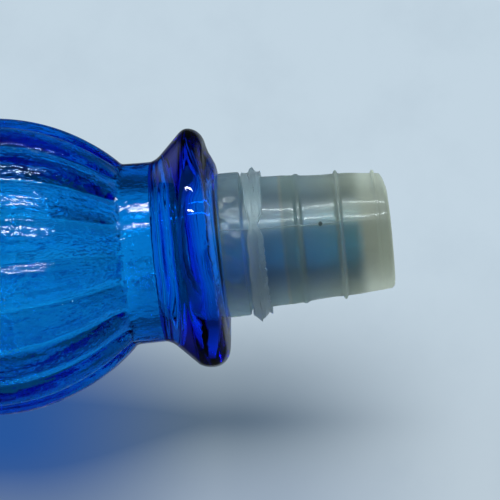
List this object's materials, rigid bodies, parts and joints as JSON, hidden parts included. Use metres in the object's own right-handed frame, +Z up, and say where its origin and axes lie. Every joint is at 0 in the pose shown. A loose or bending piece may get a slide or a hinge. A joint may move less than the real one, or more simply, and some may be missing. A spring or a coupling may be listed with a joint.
{
  "type": "perfume bottle",
  "caption": "Fluted blue glass scent bottle with a ringed neck and a plain mouth tube under a ribbed translucent push-on stopper cap with a torn loose collar.",
  "frame": {"origin": "centre of the face that the bottle stands on", "axes": "+Z up along the bottle's axis, from the foot to the cap's closed end; X and Y are radial and a valley between two flutes lies on each of them"},
  "size_m": [0.0474, 0.0474, 0.0923],
  "materials": {
    "blue_glass": "clear blue blown glass, glossy, slightly wavy",
    "cap_plastic": "milky translucent polyethylene, yellowed towards the closed end, scuffed",
    "wad_cork": "compressed cork",
    "collar_plastic": "thin milky translucent polyethylene, torn and stress-whitened at the rim"
  },
  "bodies": {
    "bottle": {"bottle": "blue_glass"},
    "wad": {"sealing_wad": "wad_cork"},
    "cap": {"stopper_cap": "cap_plastic"},
    "collar": {"torn_collar": "collar_plastic"}
  },
  "joints": [
    {"name": "cap_pull", "type": "slide", "parent": "bottle", "child": "wad", "axis": [0, 0, 1], "range_m": [0, 0.05]},
    {"name": "cap_twist", "type": "hinge", "parent": "wad", "child": "cap", "pos_m": [0, 0, 0.08], "axis": [0, 0, 1], "continuous": true},
    {"name": "collar_turn", "type": "hinge", "parent": "cap", "child": "collar", "pos_m": [0, 0, 0.0708], "axis": [0, 0, 1], "continuous": true}
  ]
}
